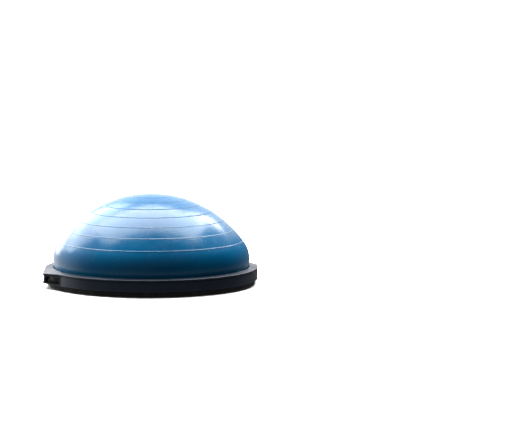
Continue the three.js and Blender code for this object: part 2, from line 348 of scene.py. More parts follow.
@dataclass(frozen=True)
class MouldedFinish:
    """Spark-textured moulded plastic with dull wear and a little dust in its grain."""

    name: str
    dark: tuple[float, float, float]
    light: tuple[float, float, float]
    scuff: tuple[float, float, float]
    smooth: float = 0.36
    dull: float = 0.50
    grain: float = 0.3
    gloss: float = 0.24

    def make(self) -> bpy.types.Material:
        """Builds the material.

        Returns:
            The finished material.
        """
        shader = Shader(self.name)
        flow = shader.spread(shader.noise(11.0, 5, 0.6), 0.3, 0.7)
        body = shader.blend(flow, self.dark, self.light)
        streak = shader.noise(38.0, 8, 0.78, shader.stretched((1.0, 1.0, 5.0)))
        patches = shader.spread(shader.noise(6.0, 3), 0.45, 0.75, 0, 0.55)
        worn = shader.times(shader.spread(streak, 0.60, 0.74), patches)
        shader.colour(shader.blend(worn, body, self.scuff))
        shader.roughness(shader.spread(shader.noise(21.0, 6, 0.65), 0.3, 0.7, self.smooth, self.dull))
        shader.relief(
            (
                (shader.noise(30.0, 2), 0.08, 0.5 * MM),
                (shader.cells(900.0), self.grain, 0.10 * MM),
                (shader.noise(2400.0, 3, 0.7), self.grain, 0.06 * MM),
            )
        )
        shader.set(IOR=1.49, Specular_IOR_Level=self.gloss)
        return shader.material


@dataclass(frozen=True)
class DeckFinish:
    """The standing deck: black moulded plastic, pebbled for grip, with faint sink lines over its ribs."""

    name: str = "black_deck"
    dark: tuple[float, float, float] = (0.012, 0.013, 0.015)
    light: tuple[float, float, float] = (0.020, 0.021, 0.024)
    scuff: tuple[float, float, float] = (0.055, 0.056, 0.06)
    rib_count: int = 12

    def make(self) -> bpy.types.Material:
        """Builds the material.

        Returns:
            The finished material.
        """
        shader = Shader(self.name)
        flow = shader.spread(shader.noise(9.0, 5, 0.6), 0.3, 0.7)
        body = shader.blend(flow, self.dark, self.light)
        soles = shader.noise(26.0, 9, 0.8, shader.stretched((0.6, 2.2, 1.0)))
        patches = shader.spread(shader.noise(4.0, 2), 0.42, 0.7, 0, 0.6)
        worn = shader.times(shader.spread(soles, 0.58, 0.72), patches)
        shader.colour(shader.blend(worn, body, self.scuff))
        shader.roughness(shader.spread(shader.noise(18.0, 6, 0.65), 0.3, 0.7, 0.5, 0.7))
        shader.relief(
            (
                (self.sink_lines(shader), 0.35, 0.35 * MM),
                (shader.cells(330.0), 0.45, 0.30 * MM),
                (shader.noise(2000.0, 3, 0.7), 0.25, 0.06 * MM),
            )
        )
        shader.set(IOR=1.49, Specular_IOR_Level=0.4)
        return shader.material

    def sink_lines(self, shader: Shader) -> bpy.types.NodeSocket:
        """Shallow hollows over the radial ribs, as a height from the angle round the axis.

        Args:
            shader: The material being built.

        Returns:
            The height, 0 in the hollow and 1 between the ribs.
        """
        split = shader.add("ShaderNodeSeparateXYZ")
        shader.link(shader.place, split.inputs[0])
        angle = shader.add("ShaderNodeMath", operation="ARCTAN2")
        shader.link(split.outputs["Y"], angle.inputs[0])
        shader.link(split.outputs["X"], angle.inputs[1])
        turns = shader.add("ShaderNodeMath", operation="MULTIPLY")
        shader.link(angle.outputs[0], turns.inputs[0])
        turns.inputs[1].default_value = self.rib_count / 2
        wave = shader.add("ShaderNodeMath", operation="COSINE")
        shader.link(turns.outputs[0], wave.inputs[0])
        size = shader.add("ShaderNodeMath", operation="ABSOLUTE")
        shader.link(wave.outputs[0], size.inputs[0])
        return shader.spread(size.outputs[0], 0.0, 0.09)


@dataclass(frozen=True)
class RubberFinish:
    """Matt black rubber with grey dust in its pores."""

    name: str = "black_rubber"
    dark: tuple[float, float, float] = (0.0028, 0.0028, 0.0032)
    dust: tuple[float, float, float] = (0.014, 0.014, 0.015)

    def make(self) -> bpy.types.Material:
        """Builds the material.

        Returns:
            The finished material.
        """
        shader = Shader(self.name)
        patch = shader.spread(shader.noise(24.0, 6, 0.7), 0.45, 0.8, 0, 0.8)
        shader.colour(shader.blend(patch, self.dark, self.dust))
        shader.roughness(shader.spread(shader.noise(60.0, 4), 0.3, 0.7, 0.78, 0.95))
        shader.relief(((shader.noise(700.0, 4, 0.7), 0.4, 0.10 * MM),))
        shader.set(IOR=1.5, Specular_IOR_Level=0.2)
        return shader.material


@dataclass(frozen=True)
class ZincFinish:
    """Plated steel, zinc or blackened, with a faint cloudy passivation and fine turning marks."""

    name: str = "zinc_steel"
    bright: tuple[float, float, float] = (0.55, 0.57, 0.60)
    dull: tuple[float, float, float] = (0.32, 0.34, 0.37)

    def make(self) -> bpy.types.Material:
        """Builds the material.

        Returns:
            The finished material.
        """
        shader = Shader(self.name)
        cloud = shader.spread(shader.noise(160.0, 5, 0.6), 0.35, 0.7)
        shader.colour(shader.blend(cloud, self.bright, self.dull))
        shader.roughness(shader.spread(shader.noise(420.0, 4), 0.3, 0.7, 0.22, 0.42))
        turned = shader.noise(260.0, 2, 0.5, shader.stretched((0.4, 0.4, 9.0)))
        shader.relief(((turned, 0.2, 0.05 * MM),))
        shader.set(Metallic=1.0)
        return shader.material


class Finishes:
    """The object's materials, each made once."""

    def __init__(self) -> None:
        """Makes every finish."""
        self.vinyl = VinylFinish().make()
        self.rim = MouldedFinish(
            "charcoal_plastic", (0.0085, 0.0150, 0.028), (0.0120, 0.0205, 0.037), (0.05, 0.06, 0.08)
        ).make()
        # Painted shade: darker, rougher plastic for the inside of the finger pockets.
        self.recess = MouldedFinish(
            "painted_recess_shade_plastic",
            (0.004, 0.005, 0.007),
            (0.006, 0.007, 0.010),
            (0.02, 0.02, 0.025),
            smooth=0.6,
            dull=0.75,
            gloss=0.1,
        ).make()
        self.blackened = ZincFinish("blackened_steel", (0.07, 0.075, 0.08), (0.03, 0.032, 0.036)).make()
        self.black = MouldedFinish(
            "black_plastic", (0.012, 0.013, 0.015), (0.02, 0.021, 0.024), (0.07, 0.07, 0.075)
        ).make()
        self.deck = DeckFinish().make()
        self.rubber = RubberFinish().make()
        self.zinc = ZincFinish().make()


# ------------------------------------------------------------------------------------------ mesh work


@dataclass(frozen=True)
class Corner:
    """One corner of a turned section, with the radius of its rounding."""

    radius: float
    height: float
    round: float = 0.0


@dataclass
class Turning:
    """A solid turned about +Z from a section with rounded corners."""

    section: Sequence[Corner]
    steps: int = 256
    arc_segments: int = 4

    def rounded(self, bm: bmesh.types.BMesh) -> None:
        """Draws the section in the XZ plane and rounds its corners.

        Args:
            bm: The mesh that takes the section's edges.
        """
        verts = [bm.verts.new((corner.radius, 0, corner.height)) for corner in self.section]
        bm.faces.new(verts)
        by_round: dict[float, list[bmesh.types.BMVert]] = {}
        for corner, vert in zip(self.section, verts):
            if corner.round > 0:
                by_round.setdefault(corner.round, []).append(vert)
        for size, chosen in sorted(by_round.items(), key=lambda item: item[0]):
            bmesh.ops.bevel(
                bm,
                geom=chosen,
                offset=size,
                offset_type="OFFSET",
                segments=self.arc_segments,
                profile=0.5,
                affect="VERTICES",
                material=-1,
                clamp_overlap=True,
            )
        bmesh.ops.delete(bm, geom=list(bm.faces), context="FACES_ONLY")
        on_axis = [edge for edge in bm.edges if all(abs(vert.co.x) < 1e-7 for vert in edge.verts)]
        bmesh.ops.delete(bm, geom=on_axis, context="EDGES_FACES")

    def mesh(self) -> bmesh.types.BMesh:
        """Turns the section once round.

        Returns:
            The closed solid.
        """
        bm = bmesh.new()
        self.rounded(bm)
        bmesh.ops.spin(
            bm,
            geom=list(bm.verts) + list(bm.edges),
            cent=(0, 0, 0),
            axis=(0, 0, 1),
            dvec=(0, 0, 0),
            angle=FULL_TURN,
            steps=self.steps,
            use_merge=True,
            use_duplicate=False,
        )
        bmesh.ops.remove_doubles(bm, verts=list(bm.verts), dist=1e-6)
        bmesh.ops.recalc_face_normals(bm, faces=list(bm.faces))
        return bm


class Bench:
    """Turns bmeshes into finished pieces, and joins and cuts them."""

    SHARP = math.radians(33)

    @staticmethod
    def piece(name: str, bm: bmesh.types.BMesh, material: bpy.types.Material) -> bpy.types.Object:
        """Makes an object from a mesh in its place.

        Args:
            name: The piece's name.
            bm: The mesh, which is freed.
            material: The finish.

        Returns:
            The object, at the origin.
        """
        mesh = bpy.data.meshes.new(name)
        bm.to_mesh(mesh)
        bm.free()
        mesh.materials.append(material)
        obj = bpy.data.objects.new(name, mesh)
        bpy.context.scene.collection.objects.link(obj)
        return obj

    @staticmethod
    def cut(obj: bpy.types.Object, tool: bmesh.types.BMesh, how: Cut) -> None:
        """Joins a tool solid to a piece, or takes it away.

        Args:
            obj: The piece.
            tool: The tool solid, which is freed.
            how: Join or remove.
        """
        helper = Bench.piece("tool", tool, obj.data.materials[0])
        modifier = obj.modifiers.new("cut", "BOOLEAN")
        modifier.operation = how.value
        modifier.solver = "EXACT"
        modifier.object = helper
        Bench.apply(obj)
        bpy.data.objects.remove(helper)

    @staticmethod
    def apply(obj: bpy.types.Object) -> None:
        """Makes the modified mesh the piece's own."""
        graph = bpy.context.evaluated_depsgraph_get()
        mesh = bpy.data.meshes.new_from_object(obj.evaluated_get(graph))
        obj.modifiers.clear()
        obj.data = mesh

    @staticmethod
    def soften(obj: bpy.types.Object, weighted: bool = True) -> None:
        """Smooth shading with crisp edges where faces meet at an angle.

        Args:
            obj: The piece.
            weighted: Whether broad faces keep their own direction up to the rounding.
        """
        obj.data.shade_smooth()
        obj.data.set_sharp_from_angle(angle=Bench.SHARP)
        if weighted:
            modifier = obj.modifiers.new("even_shading", "WEIGHTED_NORMAL")
            modifier.keep_sharp = True

    @staticmethod
    def fit(obj: bpy.types.Object, body: Body, slot: Slot, *nodes: str) -> bpy.types.Object:
        """Puts a piece on its body, in place of the CAD nodes that it stands for."""
        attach(obj, body.value)
        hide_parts(*nodes)
        LOG.info("%s: %d faces on %s", obj.name, len(obj.data.polygons), body.value)
        return obj

    @staticmethod
    def ring_of(shape: bmesh.types.BMesh, angles: Iterable[float]) -> bmesh.types.BMesh:
        """Copies a shape round the axis.

        Args:
            shape: The shape at angle zero, which is freed.
            angles: Where the copies stand, in radians.

        Returns:
            One mesh that holds the copies.
        """
        whole = bmesh.new()
        template = bpy.data.meshes.new("template")
        shape.to_mesh(template)
        shape.free()
        for angle in angles:
            before = len(whole.verts)
            whole.from_mesh(template)
            whole.verts.ensure_lookup_table()
            bmesh.ops.rotate(
                whole, cent=(0, 0, 0), matrix=Matrix.Rotation(angle, 3, "Z"), verts=whole.verts[before:]
            )
        bpy.data.meshes.remove(template)
        return whole

    @staticmethod
    def rod(radius: float, low: float, high: float, centre: Vector, segments: int = 32) -> bmesh.types.BMesh:
        """Upright round tool."""
        bm = bmesh.new()
        bmesh.ops.create_cone(
            bm,
            cap_ends=True,
            segments=segments,
            radius1=radius,
            radius2=radius,
            depth=high - low,
            matrix=Matrix.Translation((centre.x, centre.y, (low + high) / 2)),
        )
        return bm

    @staticmethod
    def web(inner: float, outer: float, low: float, high: float, thick: float) -> bmesh.types.BMesh:
        """Upright wall along +X from one radius to another."""
        bm = bmesh.new()
        size = Matrix.Diagonal((outer - inner, thick, high - low, 1))
        bmesh.ops.create_cube(
            bm, size=1, matrix=Matrix.Translation(((inner + outer) / 2, 0, (low + high) / 2)) @ size
        )
        return bm


def around(count: int, start: float = 0.0) -> list[float]:
    """Evenly spaced angles round the circle, in radians."""
    return [start + FULL_TURN * i / count for i in range(count)]


# ------------------------------------------------------------------------------------------ dome


@dataclass
class Dome:
    """The blown dome: crown sphere, tight shoulder, raised rings and the clamped bead."""

    heights: Heights
    finishes: Finishes
    wall: float = 3.6 * MM
    bead_width: float = 5 * MM
    bead_thick: float = 3 * MM
    bulge: float = 3.2 * MM
    shoulder: float = 80 * MM
    ring_count: int = 7
    ring_above_shoulder: float = 8.4 * MM
    ring_cap: float = 1.4
    ring_width: float = 2.7 * MM
    ring_proud: float = 0.6 * MM
    steps: int = 256
    foot: float = field(init=False)
    crown_centre: float = field(init=False)
    crown_radius: float = field(init=False)
    shoulder_centre: tuple[float, float] = field(init=False)
    shoulder_angle: float = field(init=False)

    def __post_init__(self) -> None:
        """Works out the two spheres of the section, which run into each other in one tangent."""
        self.foot = self.heights.bead_radius - self.bead_width
        mouth = self.heights.rim_top - 0.6 * MM
        rise = math.sqrt(self.shoulder**2 - (self.shoulder - self.bulge) ** 2)
        self.shoulder_centre = (self.foot + self.bulge - self.shoulder, mouth + rise)
        across, up = self.shoulder_centre
        reach = self.heights.dome_top - self.shoulder
        self.crown_centre = (reach**2 - across**2 - up**2) / (2 * (reach - up))
        self.crown_radius = self.heights.dome_top - self.crown_centre
        self.shoulder_angle = math.atan2(across, up - self.crown_centre)

    def on_crown(self, angle: float, proud: float = 0.0) -> Corner:
        """Point on the crown's sphere at an angle from straight up."""
        radius = self.crown_radius + proud
        return Corner(radius * math.sin(angle), self.crown_centre + radius * math.cos(angle))

    def on_shoulder(self, angle: float, inside: float = 0.0) -> Corner:
        """Point on the shoulder's arc at an angle from straight up."""
        radius = self.shoulder - inside
        across, up = self.shoulder_centre
        return Corner(across + radius * math.sin(angle), up + radius * math.cos(angle))

    def ring_angles(self) -> list[float]:
        """Angles of the raised rings from the crown down."""
        above_centre = self.crown_radius * math.cos(self.shoulder_angle) + self.ring_above_shoulder
        lowest = math.acos(above_centre / self.crown_radius)
        spacings = self.ring_count - 1 + self.ring_cap
        return [lowest * (i + self.ring_cap) / spacings for i in range(self.ring_count)]

    def ring_section(self, angle: float) -> list[Corner]:
        """Section of one raised ring: a soft upper flank, a round back and a crisp step below."""
        half = self.ring_width / 2 / self.crown_radius
        shape = (
            (-1.5, 0.0), (-1.15, 0.10), (-0.85, 0.32), (-0.5, 0.68), (-0.15, 0.93), (0.2, 1.0),
            (0.5, 0.86), (0.68, 0.55), (0.8, 0.2), (0.92, -0.12), (1.15, -0.22), (1.45, -0.12), (1.8, 0.0),
        )  # fmt: skip
        return [self.on_crown(angle + x * half, y * self.ring_proud) for x, y in shape]

    def outer_line(self) -> list[Corner]:
        """Outer line from the crown to the bead."""
        line = [Corner(0, self.heights.dome_top)]
        step = 0.012
        angle = step
        margin = 2.2 * self.ring_width / 2 / self.crown_radius
        for ring in self.ring_angles():
            while angle < ring - margin:
                line.append(self.on_crown(angle))
                angle += step
            line.extend(self.ring_section(ring))
            angle = ring + margin
        while angle < self.shoulder_angle:
            line.append(self.on_crown(angle))
            angle += step
        mouth_angle = math.pi - math.asin((self.shoulder - self.bulge) / self.shoulder)
        count = 20
        for i in range(count + 1):
            part = self.shoulder_angle + (mouth_angle - self.shoulder_angle) * i / count
            line.append(self.on_shoulder(part))
        return line

    def section(self) -> list[Corner]:
        """The whole section: outer line, bead, and the inner line back to the crown."""
        bead_top = self.heights.bead_low + self.bead_thick
        inner = self.foot - self.wall
        points = self.outer_line()
        points += [
            Corner(self.foot, bead_top),
            Corner(self.heights.bead_radius, bead_top),
            Corner(self.heights.bead_radius, self.heights.bead_low),
            Corner(inner, self.heights.bead_low),
            Corner(inner, self.heights.rim_top),
            self.on_shoulder(math.pi / 2, self.wall),
        ]
        count = 24
        for i in range(count, 0, -1):
            points.append(self.on_crown(self.shoulder_angle * i / count, -self.wall))
        points.append(Corner(0, self.heights.dome_top - self.wall))
        return points

    def mark(self, obj: bpy.types.Object) -> None:
        """Records at each point how deep it sits under a ring, for the painted shade there, and how near it
        stands to the rim, for the painted bounce light there.

        Args:
            obj: The dome.
        """
        rings = self.ring_angles()
        half = self.ring_width / 2 / self.crown_radius
        mouth = self.heights.rim_top
        bounce_light_height = 26 * MM
        crease_shade_amounts, bounce_light_amounts = [], []
        for vert in obj.data.vertices:
            radius = math.hypot(vert.co.x, vert.co.y)
            angle = math.atan2(radius, vert.co.z - self.crown_centre)
            # Painted shade: 1 in the hollow just under each ring, fading out either side.
            nearest = min(abs(angle - ring - 1.05 * half) for ring in rings)
            crease_shade_amounts.append(max(0.0, 1.0 - nearest / (0.55 * half)) * 0.45)
            # Painted bounce light: full at the rim, fading out 26 mm above it.
            above = (vert.co.z - mouth) / bounce_light_height
            bounce_light_amounts.append(max(0.0, min(1.0, 1.0 - above)) ** 1.5 * 0.9 if radius > self.foot * 0.9 else 0.0)
        for name, values in (("painted_crease_shade", crease_shade_amounts), ("painted_bounce_light", bounce_light_amounts)):
            attribute = obj.data.attributes.new(name, "FLOAT", "POINT")
            attribute.data.foreach_set("value", values)

    def build(self) -> bpy.types.Object:
        """Makes the dome.

        Returns:
            The dome.
        """
        bm = Turning(self.section(), self.steps).mesh()
        obj = Bench.piece("dome_skin", bm, self.finishes.vinyl)
        self.mark(obj)
        Bench.soften(obj, weighted=False)
        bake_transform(obj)
        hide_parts("dome_bladder")
        LOG.info("%s: %d faces, blended over its height", obj.name, len(obj.data.polygons))
        return obj


# ------------------------------------------------------------------------------------------ rim


@dataclass
class Rim:
    """The upper ring of the platform with its two ears, finger pockets and tie pins."""

    heights: Heights
    finishes: Finishes
    wall: float = 4 * MM
    lip_proud: float = 1 * MM
    lip_height: float = 4 * MM
    groove_deep: float = 1.8 * MM
    groove_high: float = 3.0 * MM
    top_width: float = 24.6 * MM
    top_rise: float = 2.4 * MM
    skirt: float = 4.6 * MM
    skirt_depth: float = 10.4 * MM
    ear_proud: float = 18.2 * MM
    ear_length: float = 175 * MM
    ear_drop: float = 8.5 * MM
    ear_corner: float = 7 * MM
    ear_tip_high: float = 44.4 * MM
    ear_plate: float = 4.2 * MM
    ear_sill: float = 4.4 * MM
    pocket_length: float = 158 * MM
    pocket_inset: float = 12.7 * MM
    pocket_back: float = 3 * MM
    pocket_corner: float = 9 * MM
    pin_radius: float = 6.2 * MM
    pin_head: float = 7.6 * MM
    pin_head_high: float = 2.4 * MM
    pin_socket: float = 3 * MM
    boss_radius: float = 5.4 * MM
    boss_count: int = 16
    pilot_radius: float = 2.3 * MM
    pilot_depth: float = 23 * MM
    stiffener_thick: float = 2.4 * MM
    edge: float = 0.9 * MM

    def section(self) -> list[Corner]:
        """Section of the ring: outer wall, lip, sloping top face and the skirt on the bead."""
        radius = self.heights.wall_radius
        low = self.heights.rim_low
        top = self.heights.rim_top
        shelf = top - self.top_rise
        inner = radius - self.top_width
        lip_low = shelf - self.lip_height
        bead = top - self.skirt_depth + FIT
        channel_top = shelf - self.wall
        return [
            Corner(radius, low, 0.8 * MM),
            Corner(radius, lip_low - self.groove_high, 0.5 * MM),
            Corner(radius - self.groove_deep, lip_low - self.groove_high + 0.6 * MM, 0.3 * MM),
            Corner(radius - self.groove_deep, lip_low - 0.4 * MM, 0.3 * MM),
            Corner(radius + self.lip_proud, lip_low, 0.5 * MM),
            Corner(radius + self.lip_proud, shelf + 0.1 * MM, 1.5 * MM),
            Corner(inner + 5.5 * MM, top - 0.35 * MM, 2.5 * MM),
            Corner(inner, top, 1.7 * MM),
            Corner(inner, bead, 0.4 * MM),
            Corner(inner + self.skirt, bead, 0.4 * MM),
            Corner(inner + self.skirt + 1 * MM, channel_top),
            Corner(radius - self.wall, channel_top),
            Corner(radius - self.wall, low, 0.6 * MM),
        ]

    def tangent_angle(self) -> float:
        """Half the angle that the ear's two sides take round the rim."""
        radius = self.heights.wall_radius
        return math.acos(radius / (radius + self.ear_proud))

    def ear(self) -> bmesh.types.BMesh:
        """One ear on +X: two near-tangent sides that meet at a rounded corner.

        Returns:
            The ear's solid, reaching into the rim's wall.
        """
        radius = self.heights.wall_radius
        reach = radius + self.ear_proud
        half = math.asin(self.ear_length / 2 / radius)
        side = radius / math.cos(self.tangent_angle() - half)
        root = radius - self.wall / 2
        low = self.heights.rim_low
        top = self.heights.rim_top + 1 * MM
        bm = bmesh.new()
        start = bm.verts.new((root * math.cos(half), -root * math.sin(half), low))
        made = bmesh.ops.spin(
            bm,
            geom=[start],
            cent=(0, 0, 0),
            axis=(0, 0, 1),
            dvec=(0, 0, 0),
            angle=2 * half,
            steps=28,
            use_merge=False,
            use_duplicate=False,
        )
        end = next(item for item in made["geom_last"] if isinstance(item, bmesh.types.BMVert))
        outline = [start]
        outline += [
            bm.verts.new((side * math.cos(half), -side * math.sin(half), low)),
            bm.verts.new((reach, 0, low)),
            bm.verts.new((side * math.cos(half), side * math.sin(half), low)),
        ]
        outline.append(end)
        for first, second in zip(outline, outline[1:]):
            bm.edges.new((first, second))
        bmesh.ops.contextual_create(bm, geom=list(bm.edges))
        self.raise_plan(bm, top - low)
        corner = [e for e in bm.edges if self.upright(e) and e.verts[0].co.x > reach - 1 * MM]
        self.bevel(bm, corner, self.ear_corner, 10)
        outer = [
            e
            for e in bm.edges
            if not self.upright(e)
            and min(v.co.xy.length for v in e.verts) > radius + 0.2 * MM
            and max(v.co.z for v in e.verts) < low + self.edge
        ]
        self.bevel(bm, outer, self.edge, 3)
        bmesh.ops.recalc_face_normals(bm, faces=list(bm.faces))
        return bm

    def top_line(self, across: float) -> float:
        """Height of the ears' sloping top, which falls straight from the dome's mouth to the tip."""
        mouth = self.heights.wall_radius - self.top_width
        tip = self.heights.wall_radius + self.ear_proud
        fall = self.heights.rim_top - self.ear_tip_high
        return self.heights.rim_top - (across - mouth) / (tip - mouth) * fall

    def wedge(self) -> bmesh.types.BMesh:
        """The tool that planes the rim and the ear on +X down to the sloping top.

        Returns:
            The wedge above the slope.
        """
        near = self.heights.wall_radius - self.top_width - 1 * MM
        far = self.heights.wall_radius + self.ear_proud + 10 * MM
        wide = self.ear_length * 0.75
        bm = Bench.web(near, far, 0, self.heights.rim_top + 20 * MM, 2 * wide)
        for vert in bm.verts:
            if vert.co.z < self.heights.rim_low:
                vert.co.z = self.top_line(vert.co.x)
        return bm

    def round_ear_tops(self, ring: bpy.types.Object) -> None:
        """Rounds the edges where the sloping tops meet the ears' sides.

        Args:
            ring: The finished ring.
        """
        slope = self.top_line(0) - self.top_line(1)
        flat = Vector((slope, 0, 1)).normalized()
        bm = bmesh.new()
        bm.from_mesh(ring.data)
        nearest = self.heights.wall_radius * 0.96
        chosen = []
        for edge in bm.edges:
            if len(edge.link_faces) != 2 or min(abs(v.co.x) for v in edge.verts) < nearest:
                continue
            steepest = min(abs(face.normal.z) for face in edge.link_faces)
            normals = [Vector((abs(f.normal.x), f.normal.y, f.normal.z)) for f in edge.link_faces]
            tops = [normal for normal in normals if normal.dot(flat) > 0.9995]
            if len(tops) == 1 and steepest < 0.2:
                chosen.append(edge)
        self.bevel(bm, chosen, self.edge, 3)
        bm.to_mesh(ring.data)
        bm.free()
        LOG.info("rounded %d edges of the ears", len(chosen))

    def paint_pocket_shade(self, ring: bpy.types.Object) -> None:
        """Gives the pockets' inside a coarser, darker plastic: painted shade in the recess.

        Args:
            ring: The finished ring.
        """
        ring.data.materials.append(self.finishes.recess)
        half = math.asin(self.pocket_length / 2 / self.heights.wall_radius) + 1e-3
        inner = self.heights.wall_radius - self.pocket_inset - 0.1 * MM
        low = self.pocket_floor() - 0.05 * MM
        high = self.pocket_ceiling() + 0.05 * MM
        for face in ring.data.polygons:
            centre = face.center
            turn = abs(math.atan2(centre.y, abs(centre.x)))
            if turn < half and centre.xy.length > inner and low <= centre.z <= high:
                face.material_index = 1

    def pocket_floor(self) -> float:
        """Height of the pockets' floor, on the ears' sill."""
        return self.heights.rim_low + self.ear_sill

    def pocket_ceiling(self) -> float:
        """Height of the pockets' ceiling, under the ears' plate."""
        return self.heights.rim_top - self.top_rise - self.ear_drop - self.ear_plate

    def sector(self, inner: float, outer: float, half: float, low: float, high: float) -> bmesh.types.BMesh:
        """Curved band between two radii on +X.

        Args:
            inner: Inner radius.
            outer: Outer radius.
            half: Half of its angle.
            low: Lower face.
            high: Upper face.

        Returns:
            The solid band.
        """
        bm = bmesh.new()
        ends = [bm.verts.new((r * math.cos(half), -r * math.sin(half), low)) for r in (inner, outer)]
        edge = bm.edges.new(ends)
        bmesh.ops.spin(
            bm,
            geom=ends + [edge],
            cent=(0, 0, 0),
            axis=(0, 0, 1),
            dvec=(0, 0, 0),
            angle=2 * half,
            steps=28,
            use_merge=False,
            use_duplicate=False,
        )
        self.raise_plan(bm, high - low)
        bmesh.ops.recalc_face_normals(bm, faces=list(bm.faces))
        return bm

    @staticmethod
    def upright(edge: bmesh.types.BMEdge) -> bool:
        """Whether an edge stands along Z."""
        first, second = (vert.co for vert in edge.verts)
        return (first.xy - second.xy).length < 1e-6

    @staticmethod
    def raise_plan(bm: bmesh.types.BMesh, height: float) -> None:
        """Extrudes a flat plan upwards into a closed solid."""
        made = bmesh.ops.extrude_face_region(bm, geom=list(bm.faces), use_keep_orig=True)
        raised = [item for item in made["geom"] if isinstance(item, bmesh.types.BMVert)]
        bmesh.ops.translate(bm, verts=raised, vec=(0, 0, height))
        bmesh.ops.recalc_face_normals(bm, faces=list(bm.faces))

    @staticmethod
    def bevel(bm: bmesh.types.BMesh, edges: list[bmesh.types.BMEdge], size: float, segments: int) -> None:
        """Rounds edges."""
        bmesh.ops.bevel(
            bm,
            geom=edges,
            offset=size,
            offset_type="OFFSET",
            segments=segments,
            profile=0.5,
            affect="EDGES",
            material=-1,
            clamp_overlap=True,
        )

    def pocket(self) -> bmesh.types.BMesh:
        """The finger pocket's tool, with round inner corners and a soft floor and ceiling edge."""
        radius = self.heights.wall_radius
        half = math.asin(self.pocket_length / 2 / radius)
        inner = radius - self.pocket_inset
        reach = radius + self.ear_proud + 20 * MM
        bm = self.sector(inner, reach, half, self.pocket_floor(), self.pocket_ceiling())
        corners = [
            e
            for e in bm.edges
            if self.upright(e)
            and abs(e.verts[0].co.xy.length - inner) < 1e-5
            and abs(abs(math.atan2(e.verts[0].co.y, e.verts[0].co.x)) - half) < 1e-4
        ]
        self.bevel(bm, corners, self.pocket_corner, 8)
        bmesh.ops.recalc_face_normals(bm, faces=list(bm.faces))
        return bm

    def inner_parts(self) -> list[bmesh.types.BMesh]:
        """Screw bosses, stiffening webs and the pockets' back walls, all inside the channel."""
        radius = self.heights.wall_radius
        low = self.heights.flange_top + FIT
        high = self.heights.rim_top - self.top_rise - self.wall + 1 * MM
        circle = self.screw_circle()
        half = math.asin(self.ear_length / 2 / radius)
        boss = Bench.rod(self.boss_radius, low, high, Vector((circle, 0, 0)))
        inner = radius - self.top_width + self.skirt
        web_low = self.heights.rim_top - self.skirt_depth + 1 * MM
        web = Bench.web(inner - 1 * MM, radius - self.wall + 1 * MM, web_low, high, self.stiffener_thick)
        block = self.sector(radius - self.pocket_inset - self.pocket_back, radius - 1 * MM, half, low, high)
        return [
            Bench.ring_of(boss, around(self.boss_count, math.pi / self.boss_count)),
            Bench.ring_of(web, around(self.boss_count)),
            Bench.ring_of(block, (0.0, math.pi)),
        ]

    def pin_place(self) -> float:
        """Radius that the tie pins stand on."""
        low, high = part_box("tie_pin_right")
        return (low[0] + high[0]) / 2

    def screw_circle(self) -> float:
        """Radius of the circle that the screws stand on."""
        return self.heights.bead_radius + self.boss_radius + 3 * FIT

    def build(self) -> list[bpy.types.Object]:
        """Makes the ring and its pins.

        Returns:
            The ring and the two pins.
        """
        low = self.heights.rim_low
        pin_centre = Vector((self.pin_place(), 0, 0))
        both = (0.0, math.pi)
        ring = Bench.piece("rim_moulding", Turning(self.section()).mesh(), self.finishes.rim)
        for part in self.inner_parts():
            Bench.cut(ring, part, Cut.JOIN)
        Bench.cut(ring, Bench.ring_of(self.ear(), both), Cut.JOIN)
        Bench.cut(ring, Bench.ring_of(self.wedge(), both), Cut.REMOVE)
        Bench.cut(ring, Bench.ring_of(self.pocket(), both), Cut.REMOVE)
        hole_top = self.pocket_ceiling() + self.pin_socket
        hole = Bench.rod(self.pin_radius + FIT, low - 1 * MM, hole_top, pin_centre)
        Bench.cut(ring, Bench.ring_of(hole, both), Cut.REMOVE)
        sink = Bench.rod(self.pin_head + FIT, low - 1 * MM, low + self.pin_head_high + FIT, pin_centre)
        Bench.cut(ring, Bench.ring_of(sink, both), Cut.REMOVE)
        screw_place = Vector((self.screw_circle(), 0, 0))
        pilot = Bench.rod(self.pilot_radius, 0, low + self.pilot_depth, screw_place, 16)
        Bench.cut(ring, Bench.ring_of(pilot, around(self.boss_count, math.pi / self.boss_count)), Cut.REMOVE)
        self.round_ear_tops(ring)
        # Painted shade inside the finger pockets.
        self.paint_pocket_shade(ring)
        Bench.soften(ring)
        pieces = [Bench.fit(ring, Body.PLATFORM, Slot.RIM_PLASTIC, "rim_ring")]
        for name, angle, node in (
            ("tie_post_right", 0.0, "tie_pin_right"),
            ("tie_post_left", math.pi, "tie_pin_left"),
        ):
            pieces.append(self.pin(name, angle, node, pin_centre))
        return pieces

    def pin(self, name: str, angle: float, node: str, centre: Vector) -> bpy.types.Object:
        """One tie pin, put in from below through the ear's sill.

        Args:
            name: The piece's name.
            angle: Where the ear is round the axis.
            node: The CAD node that it stands for.
            centre: Its place on +X.

        Returns:
            The pin.
        """
        low, top = self.heights.pin_low, self.heights.pin_top
        shank = low + self.pin_head_high - 0.4 * MM
        section = [
            Corner(0, low),
            Corner(self.pin_head, low, 0.6 * MM),
            Corner(self.pin_head, shank, 0.3 * MM),
            Corner(self.pin_radius, shank),
            Corner(self.pin_radius, top, 0.8 * MM),
            Corner(0, top),
        ]
        bm = Turning(section, 48, 3).mesh()
        bmesh.ops.translate(bm, verts=list(bm.verts), vec=centre)
        bmesh.ops.rotate(bm, cent=(0, 0, 0), matrix=Matrix.Rotation(angle, 3, "Z"), verts=list(bm.verts))
        obj = Bench.piece(name, bm, self.finishes.blackened)
        Bench.soften(obj)
        return Bench.fit(obj, Body.PLATFORM, Slot.STEEL, node)


# ------------------------------------------------------------------------------------------ base


